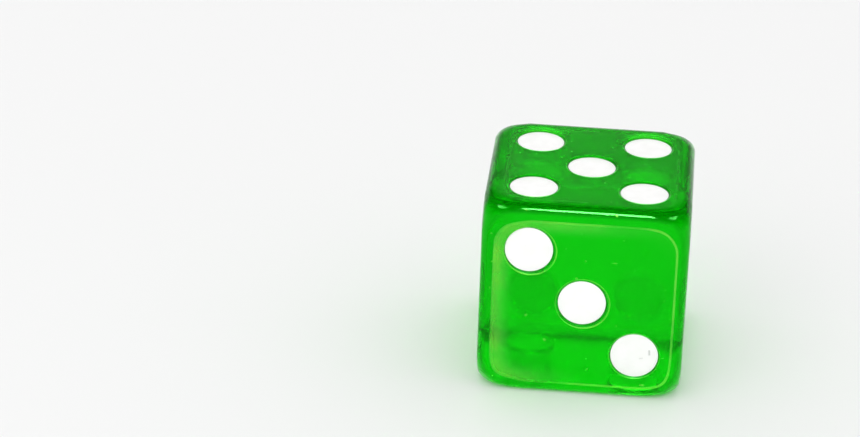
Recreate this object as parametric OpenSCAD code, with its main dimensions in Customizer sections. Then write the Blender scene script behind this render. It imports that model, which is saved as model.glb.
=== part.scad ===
// Casino die: a clear green plastic cube with 21 white pips.
//
// The cube stands on its face for two, with the origin in the middle of that
// face and +Z up. Its front, towards -Y, is the face for three. The pips are
// white filler, cast into flat-bottomed recesses that are drilled in the six
// faces, and each stops a little below its face.

/* [Body] */
// Length of the cube from face to face
side = 19.05; // [14:0.05:30]
// Radius of the twelve long edges
edge_radius = 1; // [0.5:0.05:1.9]
// How far each corner is rubbed back, past the plain meeting of three edges
corner_cut = 0.55; // [0.1:0.05:0.8]

/* [Pips] */
// Distance from the side of the cube to the rim of the nearest pip
pip_margin = 2.245; // [2.2:0.005:3]
// Gap between the rims of two neighbours in a row of three pips
pip_gap = 0.68; // [0.5:0.01:1.5]
// How much wider the single pip of the one is than the others
one_pip_extra = 0.3; // [0:0.05:1]
// Depth of a pip's recess below the face
recess_depth = 0.43; // [0.3:0.01:1]
// How far the white filler stops below the face
fill_sink = 0.13; // [0.05:0.01:0.2]
// Width of the slope that runs from the filler's rim up to the face
lip_width = 0.2; // [0.05:0.01:0.24]

/* [Hidden] */
$fn = 96;
green = [0.02, 0.68, 0.08, 0.85];
white = [0.97, 0.97, 0.95];

// The straight stretch of every edge, between two rounded corners
flat = side - 2 * edge_radius;
// A plain rounded corner's reach from the middle of the cube, less the cut
corner_reach = sqrt(3) * flat / 2 + edge_radius - corner_cut;
// Three pips in a row, with their gaps, fill a face between two margins
pip_d = (side - 2 * pip_margin - 2 * pip_gap) / 3;
pip_pitch = pip_d + pip_gap;
// How far a cutting tool runs past the surface that it cuts
overcut = 0.2;

// Each face has its name, the turn that takes it from the top to its place,
// and its pips' spots, as [across, up] counted from the middle of the face
// while looking straight at it. Opposite faces add up to seven.
FACES = [
    ["one", [90, 0, -90], [[0, 0]]],
    ["two", [180, 0, 0], [[-1, -1], [1, 1]]],
    ["three", [90, 0, 0], [[-1, 1], [0, 0], [1, -1]]],
    ["four", [90, 0, 180], [[-1, 1], [1, 1], [-1, -1], [1, -1]]],
    ["five", [0, 0, 0], [[-1, 1], [1, 1], [0, 0], [-1, -1], [1, -1]]],
    ["six", [90, 0, 90], [[-1, 1], [0, 1], [1, 1], [-1, -1], [0, -1], [1, -1]]],
];
ROWS = ["lower", "middle", "upper"];
COLUMNS = ["left", "middle", "right"];

function face_name(face) = face[0];
function face_turn(face) = face[1];
function face_spots(face) = face[2];

function spot_name(spot) =
    spot == [0, 0] ? "centre" : str(ROWS[spot.y + 1], "_", COLUMNS[spot.x + 1]);
function pip_name(face, spot) = str("pip_", face_name(face), "_", spot_name(spot));
function pip_radius(face) =
    (face_name(face) == "one" ? pip_d + one_pip_extra : pip_d) / 2;

// Puts its child on a face: the child's origin comes to the spot on the
// face's plane, and its +Z to the outward normal
module on_face(face, spot) {
    translate([0, 0, side / 2])
        rotate(face_turn(face))
            translate([spot.x * pip_pitch, spot.y * pip_pitch, side / 2])
                children();
}

// The quarter of a disc that lies between +X and +Y
module quarter_disc() {
    intersection() {
        circle(edge_radius);
        square(edge_radius);
    }
}

// The cube's flats: three boxes that cross, each as long as the cube one way
module crossed_boxes() {
    cube([side, flat, flat], center = true);
    cube([flat, side, flat], center = true);
    cube([flat, flat, side], center = true);
}

// The rounding of the twelve edges, four along each axis
module rounded_edges() {
    for (turn = [[0, 0, 0], [90, 0, 0], [0, 90, 0]])
        for (quarter = [0:3])
            rotate(turn)
                rotate([0, 0, 90 * quarter])
                    translate([flat / 2, flat / 2, -flat / 2])
                        linear_extrude(flat)
                            quarter_disc();
}

// The rounding of the eight corners, four above and four below
module rounded_corners() {
    for (lower = [0, 1])
        for (quarter = [0:3])
            mirror([0, 0, lower])
                rotate([0, 0, 90 * quarter])
                    translate([flat / 2, flat / 2, flat / 2])
                        rotate_extrude(angle = 90)
                            quarter_disc();
}

// The cube without its pips, standing on z = 0
module rounded_cube() {
    translate([0, 0, side / 2])
        intersection() {
            union() {
                crossed_boxes();
                rounded_edges();
                rounded_corners();
            }
            sphere(corner_reach);
        }
}

// What is cut away for one pip: a flat-bottomed hole that the filler fills,
// and the lip that opens from the filler's rim to the face
module recess(face) {
    r = pip_radius(face);
    slope = lip_width / fill_sink;
    translate([0, 0, -recess_depth])
        cylinder(r = r, h = recess_depth);
    translate([0, 0, -fill_sink])
        cylinder(r1 = r, r2 = r + slope * (fill_sink + overcut), h = fill_sink + overcut);
}

// The clear green cube with its 21 recesses
module die_body() {
    color(green)
        difference() {
            rounded_cube();
            for (face = FACES)
                for (spot = face_spots(face))
                    on_face(face, spot)
                        recess(face);
        }
}

// One pip: filler that is cast in place, so it has its recess's own radius
module pip(face, spot) {
    color(white)
        on_face(face, spot)
            translate([0, 0, -recess_depth])
                cylinder(r = pip_radius(face), h = recess_depth - fill_sink);
}

die_body();
for (face = FACES)
    for (spot = face_spots(face))
        pip(face, spot);
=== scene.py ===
"""A casino die: a clear green cube, a little worn, with 21 white pips set into its faces.

The cube is a bevelled box whose corners are rubbed back to a ball. Each face is a flat
plate with a turned recess let into it for every pip, and each pip is a turned disc of
filler. The sizes and places come from the frame, and all sizes are in metres.
"""

import math

import bmesh
import bpy
from mathutils import Matrix, Vector


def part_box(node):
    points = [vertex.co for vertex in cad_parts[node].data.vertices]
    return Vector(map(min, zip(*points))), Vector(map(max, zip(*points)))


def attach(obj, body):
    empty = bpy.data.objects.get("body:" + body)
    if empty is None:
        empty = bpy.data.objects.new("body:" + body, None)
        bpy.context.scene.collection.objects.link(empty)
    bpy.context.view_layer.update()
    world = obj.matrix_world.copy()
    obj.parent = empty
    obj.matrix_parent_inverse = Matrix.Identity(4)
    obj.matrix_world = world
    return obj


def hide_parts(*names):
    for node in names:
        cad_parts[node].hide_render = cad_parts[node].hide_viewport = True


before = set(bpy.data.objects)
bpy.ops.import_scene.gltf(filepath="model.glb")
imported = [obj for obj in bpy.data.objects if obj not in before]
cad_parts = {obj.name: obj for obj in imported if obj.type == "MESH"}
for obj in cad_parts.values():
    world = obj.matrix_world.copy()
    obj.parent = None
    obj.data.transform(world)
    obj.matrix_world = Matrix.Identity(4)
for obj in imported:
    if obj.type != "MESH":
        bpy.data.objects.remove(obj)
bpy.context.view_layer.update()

MM = 0.001
LOW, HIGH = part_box("die_body")
CENTRE = (LOW + HIGH) / 2
HALF = (HIGH.x - LOW.x) / 2

# The cube's edges: how far the rounding spreads over each face, its fullness, and its steps
EDGE_SPREAD = 1.4 * MM
EDGE_FULLNESS = 0.7
EDGE_STEPS = 16
# The ball that the corners are rubbed back to, how softly they blend into it, and how many
# blends short of the ball a point is too far from it to be moved
BALL_RADIUS = 15.12 * MM
BALL_BLEND = 0.12 * MM
BALL_REACH = 12
# How far from the middle a point has to lie to be smoothed over, and how many times
CORNER_START = 14.6 * MM
CORNER_RUBS = 18
# Where the long edges get extra loops, measured back from the rounding, so that they bend
# into the corners and not along their whole length
LOOPS = [0.42 * MM, 0.7 * MM, 1.1 * MM, 1.7 * MM, 2.5 * MM]
# The band of each face that stays part of the rounded shell, round the flat plate
BORDER = 0.38 * MM

# A recess: the rounding of its rim, and the flat ring outside it
RIM_RADIUS = 0.12 * MM
RIM_STEPS = 5
COLLAR = 0.03 * MM
TURNS = 96
# How far the painted shade reaches up the slope from the filler
GROOVE = 0.19 * MM
# The slope round the filler: its usual width, and on the hand-finished front how wide each
# one came out, and how far its rim wandered to the right and up
LIP_WIDTH = 0.2 * MM
LIPS = {
    "pip_three_upper_left": (0.23 * MM, (0.13 * MM, -0.08 * MM)),
    "pip_three_centre": (0.31 * MM, (0.07 * MM, -0.06 * MM)),
    "pip_three_lower_right": (0.13 * MM, (0.0, -0.01 * MM)),
}

# A pip reaches this far into the cube's wall, so that no air shows between them
BOND = 0.012 * MM
# How far the filler dips in the middle, and the rounding of its own rim
DIP = 0.02 * MM
PIP_RIM = 0.02 * MM
PIP_STEPS = 3

# The die stands on a film of air, so that its underside mirrors as a polished face does
AIR_FILM = 0.03 * MM

# Points closer than this are one point, and one no further below a face than this lies on it
SAME = 0.0001 * MM
ON_FACE = 0.004 * MM
# A strip whose normal leans less than this along an edge runs straight beside it
STRAIGHT = 0.0001


# --- Modelling by hand -------------------------------------------------------------------


def put_down():
    """Leaves edit mode and deselects everything."""
    if bpy.context.object and bpy.context.object.mode != "OBJECT":
        bpy.ops.object.mode_set(mode="OBJECT")
    bpy.ops.object.select_all(action="DESELECT")


def pick_up(piece):
    """Makes one piece active and enters edit mode on it."""
    put_down()
    bpy.context.view_layer.objects.active = piece
    piece.select_set(True)
    bpy.ops.object.mode_set(mode="EDIT")
    bpy.ops.mesh.select_mode(type="VERT")


def choose(piece, kind, test):
    """Selects only the vertices, edges or faces that pass the test."""
    modes = {"verts": "VERT", "edges": "EDGE", "faces": "FACE"}
    bpy.ops.mesh.select_mode(type=modes[kind])
    bpy.ops.mesh.select_all(action="DESELECT")
    shape = bmesh.from_edit_mesh(piece.data)
    for part in getattr(shape, kind):
        if test(part):
            part.select_set(True)
    shape.select_flush_mode()
    bmesh.update_edit_mesh(piece.data)


def finish_piece(piece, name, material, sharp=30):
    """Names a piece, gives it its material and smooths all but its sharp edges."""
    put_down()
    piece.name = name
    piece.data.name = name
    piece.data.materials.clear()
    piece.data.materials.append(material)
    piece.select_set(True)
    bpy.context.view_layer.objects.active = piece
    bpy.ops.object.transform_apply(location=True, rotation=True, scale=True)
    bpy.ops.object.shade_smooth_by_angle(angle=math.radians(sharp))
    put_down()


def close_ring(drop):
    """Draws the selected ring in to one point in its middle, and moves that along Z."""
    bpy.ops.mesh.extrude_region_move(TRANSFORM_OT_translate={"value": (0, 0, 0)})
    bpy.ops.mesh.merge(type="CENTER")
    bpy.ops.transform.translate(value=(0, 0, drop))


def turned(name, outline):
    """A round shape about +Z, drawn out ring by ring along (radius, height) points.

    An end of the outline with no radius is closed in a point.
    """
    rings = [point for point in outline if point[0] > 0]
    radius, height = rings[0]
    put_down()
    bpy.ops.mesh.primitive_circle_add(vertices=TURNS, radius=radius, location=(0, 0, height))
    piece = bpy.context.object
    piece.name = name
    bpy.ops.object.transform_apply(location=True)
    pick_up(piece)
    bpy.ops.mesh.select_all(action="SELECT")
    if outline[0][0] == 0:
        close_ring(outline[0][1] - height)
        choose(piece, "edges", lambda e: len(e.link_faces) == 1)
    for next_radius, next_height in rings[1:]:
        bpy.ops.mesh.extrude_region_move(
            TRANSFORM_OT_translate={"value": (0, 0, next_height - height)}
        )
        grow = next_radius / radius
        bpy.ops.transform.resize(value=(grow, grow, 1), center_override=(0, 0, next_height))
        radius, height = next_radius, next_height
    if outline[-1][0] == 0:
        close_ring(outline[-1][1] - height)
    bpy.ops.mesh.select_all(action="SELECT")
    bpy.ops.mesh.normals_make_consistent(inside=False)
    put_down()
    return piece


def copied(piece, name, move):
    """A copy of a piece with its own mesh, moved to its place."""
    twin = bpy.data.objects.new(name, piece.data.copy())
    bpy.context.scene.collection.objects.link(twin)
    twin.data.transform(move)
    return twin


def thrown_away(piece):
    """Deletes a piece that only served as the pattern for its copies."""
    put_down()
    bpy.data.objects.remove(piece)


# --- Where the pips are ------------------------------------------------------------------


class Spot:
    """A pip's place, read from its CAD node: its face's normal and plane, and its sizes."""

    def __init__(self, node):
        low, high = (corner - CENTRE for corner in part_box(node))
        size, middle = high - low, (low + high) / 2
        axis = min(range(3), key=lambda i: size[i])
        sign = 1 if middle[axis] > 0 else -1
        outer, inner = sorted((abs(low[axis]), abs(high[axis])), reverse=True)
        self.node = node
        self.lip, self.wander = LIPS.get(node, (LIP_WIDTH, (0.0, 0.0)))
        self.radius = max(size) / 2
        self.sink = HALF - outer
        self.depth = HALF - inner
        self.normal = Vector([sign if i == axis else 0 for i in range(3)])
        self.place = Vector(middle)
        self.place[axis] = sign * HALF

    def stand(self):
        """The move that takes a turned shape from the origin to this spot."""
        turn = Vector((0, 0, 1)).rotation_difference(self.normal).to_matrix().to_4x4()
        return Matrix.Translation(self.place) @ turn


SPOTS = [Spot(node) for node in sorted(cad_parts) if node.startswith("pip_")]
NORMALS = [Vector(v) for v in ((1, 0, 0), (-1, 0, 0), (0, 1, 0), (0, -1, 0), (0, 0, 1), (0, 0, -1))]


# --- The cube ----------------------------------------------------------------------------


def is_plate(face):
    """True for one of the cube's six large flats."""
    return face.calc_area() > HALF * HALF


def is_strip(face, along):
    """True for a strip of an edge's rounding that runs along this direction."""
    return not is_plate(face) and abs(face.normal.dot(along)) < STRAIGHT


def bevelled_cube():
    """A cube with all its edges rounded, and with loops where the edges meet the corners."""
    put_down()
    bpy.ops.mesh.primitive_cube_add(size=2 * HALF, location=(0, 0, 0))
    cube = bpy.context.object
    pick_up(cube)
    bpy.ops.mesh.select_all(action="SELECT")
    bpy.ops.mesh.bevel(
        offset=EDGE_SPREAD,
        offset_type="OFFSET",
        profile=EDGE_FULLNESS,
        segments=EDGE_STEPS,
        affect="EDGES",
        clamp_overlap=False,
    )
    straight = HALF - EDGE_SPREAD
    for axis in range(3):
        along = Vector([1 if i == axis else 0 for i in range(3)])
        for loop in LOOPS:
            for sign in (1, -1):
                choose(cube, "faces", lambda f: is_strip(f, along))
                bpy.ops.mesh.bisect(plane_co=along * sign * (straight - loop), plane_no=along)
    return cube


def rub_corners(cube):
    """Pulls what stands proud of the corner ball back to it, and smooths the corners over."""
    put_down()
    for vertex in cube.data.vertices:
        reach = vertex.co.length
        over = (reach - BALL_RADIUS) / BALL_BLEND
        if over > -BALL_REACH:
            vertex.co *= (reach - BALL_BLEND * math.log1p(math.exp(over))) / reach
    pick_up(cube)
    choose(cube, "verts", lambda v: v.co.length > CORNER_START)
    bpy.ops.mesh.vertices_smooth(factor=0.5, repeat=CORNER_RUBS)
    put_down()


def recess_outline(spot):
    """A recess from its flat ring down the lip and the wall to the middle of its floor."""
    slope = math.atan2(spot.sink, spot.lip)
    reach = RIM_RADIUS * math.tan(slope / 2)
    edge = spot.radius + spot.lip
    points = [(edge + reach + COLLAR, 0)]
    for step in range(RIM_STEPS + 1):
        angle = slope * step / RIM_STEPS
        points.append(
            (edge + reach - RIM_RADIUS * math.sin(angle), -RIM_RADIUS * (1 - math.cos(angle)))
        )
    for share in (0.45, 0.2, 0):
        points.append((spot.radius + share * spot.lip, -spot.sink * (1 - share)))
    points += [(spot.radius, -spot.depth), (spot.radius / 2, -spot.depth), (0, -spot.depth)]
    return points


def recess(spot):
    """A turned recess, with its wear and its painted shade written on its points.

    The value is 1 on the scuffed rim, where it is wear, and -1 in the groove round the filler,
    where it is painted shade.
    """
    outline = recess_outline(spot)
    ring = turned("recess", outline)
    spread = outline[0][0] - spot.radius - spot.lip
    wear_and_shade = ring.data.attributes.new("wear_and_shade", "FLOAT", "POINT")
    for vertex in ring.data.vertices:
        if -vertex.co.z > spot.sink + ON_FACE:
            continue
        out = vertex.co.xy.length - spot.radius
        share = min(max(out / spot.lip, 0), 1)
        rim = max(0, 1 - abs(out - spot.lip) / spread)
        # Painted shade in the groove next to the filler, fading up the slope
        groove = min(1, max(0, 1.6 * (1 - out / GROOVE)))
        wear_and_shade.data[vertex.index].value = rim - groove
        vertex.co.x += spot.wander[0] * share
        vertex.co.y += spot.wander[1] * share
    return ring


def lay_plate(cube, normal):
    """Fills the open face between its border and the rims of its recesses."""
    pick_up(cube)

    def open_and_flat(edge):
        at_rim = len(edge.link_faces) == 1
        return at_rim and all(v.co.dot(normal) > HALF - ON_FACE for v in edge.verts)

    choose(cube, "edges", open_and_flat)
    bpy.ops.mesh.fill(use_beauty=True)


def die_body(material):
    """The green cube with its recesses, as one closed shell."""
    cube = bevelled_cube()
    choose(cube, "faces", is_plate)
    bpy.ops.mesh.inset(thickness=BORDER, use_individual=True, use_even_offset=True)
    choose(cube, "faces", is_plate)
    bpy.ops.mesh.delete(type="ONLY_FACE")
    rub_corners(cube)
    cube.data.attributes.new("wear_and_shade", "FLOAT", "POINT")
    parts = [cube]
    patterns = {}
    for spot in SPOTS:
        kind = (round(spot.radius / MM, 3), spot.lip, spot.wander)
        if kind not in patterns:
            patterns[kind] = recess(spot)
        parts.append(copied(patterns[kind], "recess", spot.stand()))
    for pattern in patterns.values():
        thrown_away(pattern)
    put_down()
    for part in parts:
        part.select_set(True)
    bpy.context.view_layer.objects.active = cube
    bpy.ops.object.join()
    for normal in NORMALS:
        lay_plate(cube, normal)
    pick_up(cube)
    bpy.ops.mesh.select_all(action="SELECT")
    bpy.ops.mesh.remove_doubles(threshold=SAME)
    bpy.ops.mesh.select_all(action="SELECT")
    bpy.ops.mesh.normals_make_consistent(inside=False)
    put_down()
    cube.location = CENTRE
    finish_piece(cube, "green_cube", material)
    return cube


# --- The pips ----------------------------------------------------------------------------


def pip_outline(spot):
    """A disc of filler from the middle of its face, over its rim, to the middle of its back."""
    radius = spot.radius + BOND
    points = [(0, -spot.sink - DIP), (radius / 2, -spot.sink - DIP / 2)]
    for step in range(PIP_STEPS + 1):
        angle = math.pi / 2 * step / PIP_STEPS
        points.append(
            (
                radius - PIP_RIM * (1 - math.sin(angle)),
                -spot.sink - PIP_RIM * (1 - math.cos(angle)),
            )
        )
    points += [(radius, -spot.depth - BOND), (0, -spot.depth - BOND)]
    return points


def white_pips(material):
    """The 21 pips: the two sizes are turned once each and copied into their recesses."""
    patterns = {}
    pips = []
    for spot in SPOTS:
        kind = round(spot.radius / MM, 3)
        if kind not in patterns:
            patterns[kind] = turned("pip", pip_outline(spot))
        disc = copied(patterns[kind], spot.node, Matrix.Translation(CENTRE) @ spot.stand())
        finish_piece(disc, "white_" + spot.node, material)
        pips.append(disc)
    for pattern in patterns.values():
        thrown_away(pattern)
    return pips


# --- Shader maths ------------------------------------------------------------------------


class Wire:
    """A number that runs through a material's nodes, with Python's own operators."""

    def __init__(self, paint, socket):
        self.paint = paint
        self.socket = socket

    def maths(self, operation, *others, swap=False):
        values = [self, *others]
        if swap:
            values.reverse()
        return self.paint.node(
            "ShaderNodeMath", {"operation": operation}, dict(enumerate(values))
        )

    def __add__(self, other):
        return self.maths("ADD", other)

    def __sub__(self, other):
        return self.maths("SUBTRACT", other)

    def __rsub__(self, other):
        return self.maths("SUBTRACT", other, swap=True)

    def __mul__(self, other):
        return self.maths("MULTIPLY", other)

    def __truediv__(self, other):
        return self.maths("DIVIDE", other)

    def __pow__(self, other):
        return self.maths("POWER", other)

    def __abs__(self):
        return self.maths("ABSOLUTE")

    __radd__ = __add__
    __rmul__ = __mul__

    def lower(self, other):
        return self.maths("MINIMUM", other)

    def higher(self, other):
        return self.maths("MAXIMUM", other)

    def ramp(self, start, end, low=0.0, high=1.0):
        """Goes smoothly from low to high as this goes from start to end."""
        return self.paint.node(
            "ShaderNodeMapRange",
            {"interpolation_type": "SMOOTHSTEP"},
            {0: self, 1: start, 2: end, 3: low, 4: high},
        )


class Paint:
    """The node tree of a material, or of the world."""

    def __init__(self, owner, output="ShaderNodeOutputMaterial"):
        owner.use_nodes = True
        self.owner = owner
        self.output = output
        self.tree = owner.node_tree
        self.tree.nodes.clear()

    def node(self, kind, settings=None, sockets=None, out=0):
        """Adds a node: its settings first, then its sockets' values or links."""
        made = self.tree.nodes.new(kind)
        for key, value in (settings or {}).items():
            setattr(made, key, value)
        for key, value in (sockets or {}).items():
            if isinstance(value, Wire):
                self.tree.links.new(value.socket, made.inputs[key])
            else:
                made.inputs[key].default_value = value
        return Wire(self, made.outputs[out]) if made.outputs else None

    def finish(self, **shaders):
        """Joins the shaders to the output, and returns the finished material or world."""
        self.node(self.output, {}, {name.title(): shader for name, shader in shaders.items()})
        return self.owner

    def place(self):
        """The point on the piece, as the object's own coordinates."""
        return self.node("ShaderNodeTexCoord", out="Object")

    def split(self, vector):
        """The three numbers of a vector."""
        first = self.node("ShaderNodeSeparateXYZ", {}, {0: vector})
        return [Wire(self, socket) for socket in first.socket.node.outputs]

    def noise(self, place, scale, detail=2.0):
        """Soft noise, about 0 to 1, with so many lumps to the metre."""
        return self.node(
            "ShaderNodeTexNoise",
            {"noise_dimensions": "3D"},
            {"Vector": place, "Scale": scale, "Detail": detail},
        )

    def stretched(self, place, turn, size, shift):
        """The place turned, scaled and shifted, for patterns with a grain."""
        return self.node(
            "ShaderNodeMapping",
            {"vector_type": "POINT"},
            {"Vector": place, "Location": shift, "Rotation": turn, "Scale": size},
        )

    def mix(self, share, first, second):
        """A colour between two colours."""
        return self.node(
            "ShaderNodeMix",
            {"data_type": "RGBA"},
            {"Factor": share, 6: first, 7: second},
            out=2,
        )


def from_middle(paint, place):
    """Where the point is from the cube's middle along each axis, in half sides."""
    centred = paint.node(
        "ShaderNodeVectorMath", {"operation": "SUBTRACT"}, {0: place, 1: tuple(CENTRE)}
    )
    return [distance / HALF for distance in paint.split(centred)]


def scratches(paint, place, turn, length, width, seed):
    """Fine straight lines along one direction, as a mask."""
    grain = paint.stretched(place, turn, (1 / length, 1 / width, 1 / width), (seed, seed * 0.7, 0))
    lines = paint.noise(grain, 1.0, detail=0.0)
    return abs(lines - 0.5).ramp(0.0, 0.006, 1.0, 0.0)


def stroke(x, z, start, end, width):
    """One straight mark on the front face, between two points in half sides, as a mask."""
    (x1, z1), (x2, z2) = start, end
    length = math.hypot(x2 - x1, z2 - z1)
    along = ((x - x1) * (x2 - x1) + (z - z1) * (z2 - z1)) / length
    aside = abs((x - x1) * (z2 - z1) - (z - z1) * (x2 - x1)) / length
    ends = along.ramp(0.0, 0.2 * length) * along.ramp(0.8 * length, length, 1.0, 0.0)
    return aside.ramp(0.3 * width, width, 1.0, 0.0) * ends


# The green plastic as seen through its polished skin, its tumbled edges with painted shade, its
# scuffs, and the painted shade in the groove round each filler which also colours two dark cuts,
# then its reflection, and what is left of white light after a millimetre of it
CLEAR_GREEN = (0.35, 0.97, 0.3, 1)
EDGE_SHADE_GREEN = (0.06, 0.27, 0.06, 1)
SCUFFED_GREEN = (0.55, 1.0, 0.1, 1)
GROOVE_SHADE_AND_CUT_GREEN = (0.01, 0.1, 0.01, 1)
GREEN_GLOSS = (0.14, 1.0, 0.17, 1)
GREEN_DEPTH = (0.3, 0.977, 0.2, 1)
# The white filler, where it is dull, where it is bright, and in its nicks
DULL_WHITE = (0.93, 0.93, 0.915, 1)
BRIGHT_WHITE = (0.97, 0.97, 0.96, 1)
NICK_GREY = (0.2, 0.22, 0.19, 1)


def green_acetate():
    """Clear green cellulose acetate, with a scuffed line round each flat and each recess."""
    paint = Paint(bpy.data.materials.new("green_acetate"))
    place = paint.place()
    x, y, z = from_middle(paint, place)
    # The two smaller distances say how near the point is to the sides of its own face
    outer = abs(x).higher(abs(y)).higher(abs(z))
    power = 9
    across = abs(x) ** power + abs(y) ** power + abs(z) ** power - outer**power
    across = across ** (1 / power)
    flat = across.ramp(0.82, 0.9, 1.0, 0.0)
    # The flats' finish ends a little further in on the left and at the top
    ended = across + 0.02 * x.ramp(-0.7, -0.5, 1.0, 0.0) + 0.045 * z.ramp(0.6, 0.82)
    upright = abs(z).ramp(0.94, 1.0, 1.0, 0.25)

    # The line where the flat's finish meets the tumbled edge, and the haze on its inner side
    patches = paint.noise(place, 260.0, detail=2.0).ramp(0.3, 0.62)
    line = ended.ramp(0.868, 0.884) * ended.ramp(0.888, 0.902, 1.0, 0.0)
    line = line * (0.45 + 0.55 * patches)
    speckle = paint.noise(place, 7000.0, detail=3.0).ramp(0.36, 0.64)
    left = x.ramp(-0.85, 0.1, 1.0, 0.0)
    above = z.ramp(0.45, 0.9) * x.ramp(-0.6, 0.95, 1.0, 0.1)
    side = left.higher(0.75 * above)
    haze = ended.ramp(0.66, 0.87) ** 1.6 * ended.ramp(0.878, 0.9, 1.0, 0.0)
    haze = haze * side * (0.6 + 0.4 * speckle) * (0.55 + 0.45 * patches)
    specks = paint.noise(place, 1700.0, detail=0.0).ramp(0.8, 0.83)
    # The points' wear on the recess rims, and the painted shade in the grooves round the filler
    wear_and_shade = paint.node("ShaderNodeAttribute", {"attribute_name": "wear_and_shade"}, out=2)
    rim = wear_and_shade.higher(0.0)
    groove_shade = (0 - wear_and_shade).higher(0.0)
    crisp = (0.75 * line).higher(0.6 * specks) * upright
    crisp = crisp.higher(rim * (0.55 + 0.45 * patches) * (0.35 + 0.65 * upright))
    scuff = crisp.higher(haze * upright)

    # Fine scratches across the flats, and two deeper ones low on the left of the front
    marks = scratches(paint, place, (0.4, 0.9, 0.5), 0.006, 0.00035, 3.1)
    marks = marks.higher(scratches(paint, place, (1.2, 0.3, 2.1), 0.005, 0.0003, 8.4))
    worn = paint.noise(place, 420.0, detail=3.0).ramp(0.5, 0.72)
    marks = marks * worn * flat
    front = y.ramp(-1.0, -0.98, 1.0, 0.0)
    cuts = stroke(x, z, (-0.885, -0.30), (-0.82, -0.47), 0.006)
    cuts = cuts.higher(stroke(x, z, (-0.875, -0.33), (-0.86, -0.46), 0.005)) * front

    smudge = paint.noise(place, 210.0, detail=3.0).ramp(0.35, 0.75)
    roughness = 0.1 + flat * (0.09 + 0.05 * smudge) + 0.1 * marks + 0.3 * scuff
    roughness = roughness.lower(0.27) + 0.3 * crisp.higher(groove_shade)
    grain = paint.noise(place, 9000.0, detail=2.0)
    height = 0.12 * grain * scuff - 0.5 * marks - cuts
    bump = paint.node(
        "ShaderNodeBump", {}, {"Strength": 0.08, "Distance": 0.00004, "Height": height}
    )
    # Painted shade: the tumbled edges are darkened, the upper ones most
    edge = across.ramp(0.895, 0.94) * (0.2 + 0.3 * z.ramp(-0.9, -0.6) + 0.5 * z.ramp(0.88, 0.95))
    colour = paint.mix(edge, CLEAR_GREEN, EDGE_SHADE_GREEN)
    colour = paint.mix(scuff, colour, SCUFFED_GREEN)
    # Painted shade in the groove round each filler, and the dark colour of two cuts
    colour = paint.mix((0.85 * groove_shade).higher(0.6 * cuts), colour, GROOVE_SHADE_AND_CUT_GREEN)
    surface = paint.node(
        "ShaderNodeBsdfPrincipled",
        {},
        {
            "Base Color": colour,
            "Metallic": 0.33 * scuff,
            "Roughness": roughness,
            "IOR": 1.48,
            "Transmission Weight": 1.0,
            "Specular Tint": GREEN_GLOSS,
            "Normal": bump,
        },
    )
    volume = paint.node(
        "ShaderNodeVolumeAbsorption", {}, {"Color": GREEN_DEPTH, "Density": 1 / MM}
    )
    return paint.finish(surface=surface, volume=volume)


def white_filler():
    """Opaque white filler, faintly grained, with a few nicks."""
    paint = Paint(bpy.data.materials.new("white_filler"))
    place = paint.place()
    x, y, z = from_middle(paint, place)
    cloud = paint.noise(place, 900.0, detail=3.0).ramp(0.3, 0.7)
    pits = paint.noise(place, 3600.0, detail=1.0).ramp(0.84, 0.87)
    front = y.ramp(-1.0, -0.97, 1.0, 0.0)
    nicks = stroke(x, z, (0.676, -0.458), (0.681, -0.528), 0.014)
    nicks = nicks.higher(0.6 * stroke(x, z, (0.579, -0.564), (0.624, -0.556), 0.009)) * front
    nicks = nicks.higher(pits)
    grain = paint.noise(place, 8000.0, detail=3.0)
    colour = paint.mix(cloud, DULL_WHITE, BRIGHT_WHITE)
    colour = paint.mix(0.8 * nicks, colour, NICK_GREY)
    bump = paint.node(
        "ShaderNodeBump",
        {},
        {"Strength": 0.2, "Distance": 0.00002, "Height": 0.3 * grain - nicks},
    )
    surface = paint.node(
        "ShaderNodeBsdfPrincipled",
        {},
        {
            "Base Color": colour,
            "Roughness": 0.28 + 0.1 * cloud,
            "IOR": 1.5,
            "Normal": bump,
        },
    )
    return paint.finish(surface=surface)


def pale_table():
    """The floor: plain off-white."""
    paint = Paint(bpy.data.materials.new("pale_table"))
    shade = (TABLE_SHADE, TABLE_SHADE, TABLE_SHADE, 1)
    surface = paint.node(
        "ShaderNodeBsdfPrincipled",
        {},
        {"Base Color": shade, "Roughness": 0.9, "Specular IOR Level": 0.1},
    )
    return paint.finish(surface=surface)


# --- Floor, lights and camera ------------------------------------------------------------

TABLE_SHADE = 0.82
# The sines of the rise at which the paper ends and the ceiling starts, and its brightness
PAPER_END = 0.6
CEILING_START = 0.88
CEILING = 0.05
# The sine of the rise at which gloss loses the paper, and the brightness of the whole room
GLOSS_END = 0.52
ROOM = 1.09
# The camera stands this far from the middle of the die, this far above the level and a
# little to the right of its front. It looks past the die's left side, tipped a little.
CAMERA_DISTANCE = 301.9 * MM
CAMERA_RISE = math.radians(26.27)
CAMERA_SIDE = math.radians(1.47)
LOOK_DOWN = math.radians(25.69)
LOOK_LEFT = math.radians(4.63)
CAMERA_ROLL = math.radians(1.81)
LENS = 133.7


def towards(azimuth, rise):
    """The direction at an azimuth, from the front towards the right, and a rise, in radians."""
    flat = math.cos(rise)
    return Vector((math.sin(azimuth) * flat, -math.cos(azimuth) * flat, math.sin(rise)))


def floor():
    """The table that the die stands on, reaching far past the view."""
    put_down()
    bpy.ops.mesh.primitive_plane_add(size=2.4, location=(0, 0, LOW.z - AIR_FILM))
    table = bpy.context.object
    table.name = "table"
    table.data.materials.append(pale_table())


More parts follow.
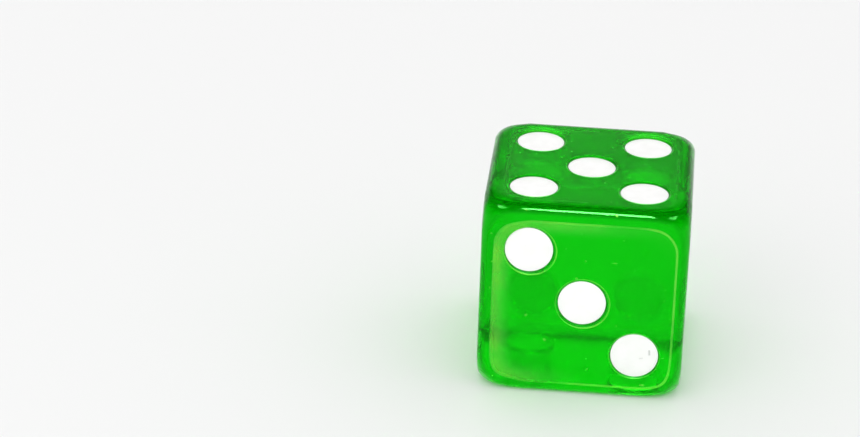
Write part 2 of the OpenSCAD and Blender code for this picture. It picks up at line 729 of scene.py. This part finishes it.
def lamp(name, azimuth, rise, distance, size, power, sees):
    """A soft oval lamp that faces the die from so many degrees round it and above the table."""
    light = bpy.data.lights.new(name, "AREA")
    light.shape = "ELLIPSE"
    light.size, light.size_y = size
    light.energy = power
    fitting = bpy.data.objects.new(name, light)
    bpy.context.scene.collection.objects.link(fitting)
    away = towards(math.radians(azimuth), math.radians(rise))
    fitting.location = CENTRE + away * distance
    fitting.rotation_euler = away.to_track_quat("Z", "Y").to_euler()
    fitting.visible_camera = False
    fitting.visible_diffuse = "diffuse" in sees
    fitting.visible_glossy = "glossy" in sees
    fitting.visible_transmission = "transmission" in sees


def surround():
    """White paper all round, which the eye sees fall off to a dark ceiling overhead."""
    world = bpy.data.worlds.new("studio")
    bpy.context.scene.world = world
    paint = Paint(world, "ShaderNodeOutputWorld")
    direction = paint.node("ShaderNodeTexCoord", out="Generated")
    rise = paint.split(direction)[2]
    paper = rise.ramp(PAPER_END, CEILING_START, 1.0, CEILING)
    # Gloss shows the paper only near the table, and the whole room lights table and pips
    mirrored = paint.node("ShaderNodeLightPath", out="Is Reflection Ray")
    low_paper = rise.ramp(0.0, GLOSS_END, 1.0, 0.04)
    seen = paper + mirrored * (low_paper - paper)
    lit = paint.node("ShaderNodeLightPath", out="Diffuse Depth").lower(1.0)
    strength = seen + lit * (ROOM - seen)
    background = paint.node(
        "ShaderNodeBackground", {}, {"Color": (1, 1, 1, 1), "Strength": strength}
    )
    paint.finish(surface=background)


def studio():
    """The surround and the four lamps."""
    surround()
    # Key light, from the upper left: it shapes the pips and the floor
    lamp("key", -35, 35, 0.6, (0.4, 0.4), 0.4, ("diffuse",))
    # The bright lamp close to the camera that draws the line along the front edge
    lamp("flash", 0.2, 40, 0.5, (0.15, 0.2), 4.6, ("glossy",))
    # Two lamps at the sides, which glint on the front corners
    lamp("left_glint", -60, 48, 0.5, (0.34, 0.13), 1.4, ("glossy",))
    lamp("right_glint", 60, 48, 0.5, (0.34, 0.13), 1.4, ("glossy",))


def camera():
    """The camera at its place, turned past the die's left side and tipped."""
    data = bpy.data.cameras.new("camera")
    data.lens = LENS
    data.clip_start = 0.01
    data.clip_end = 10
    eye = bpy.data.objects.new("camera", data)
    bpy.context.scene.collection.objects.link(eye)
    spot = CENTRE + towards(CAMERA_SIDE, CAMERA_RISE) * CAMERA_DISTANCE
    eye.matrix_world = (
        Matrix.Translation(spot)
        @ Matrix.Rotation(LOOK_LEFT, 4, "Z")
        @ Matrix.Rotation(math.pi / 2 - LOOK_DOWN, 4, "X")
        @ Matrix.Rotation(CAMERA_ROLL, 4, "Z")
    )
    bpy.context.scene.camera = eye


# --- The scene ---------------------------------------------------------------------------

scene = bpy.context.scene
camera()
floor()
studio()
scene.view_settings.view_transform = "Standard"
scene.cycles.max_bounces = 24
scene.cycles.glossy_bounces = 16
scene.cycles.transmission_bounces = 24
scene.cycles.diffuse_bounces = 4

cube = die_body(green_acetate())
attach(cube, "root")
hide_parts("die_body")

for spot, disc in zip(SPOTS, white_pips(white_filler())):
    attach(disc, "root")
    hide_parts(spot.node)
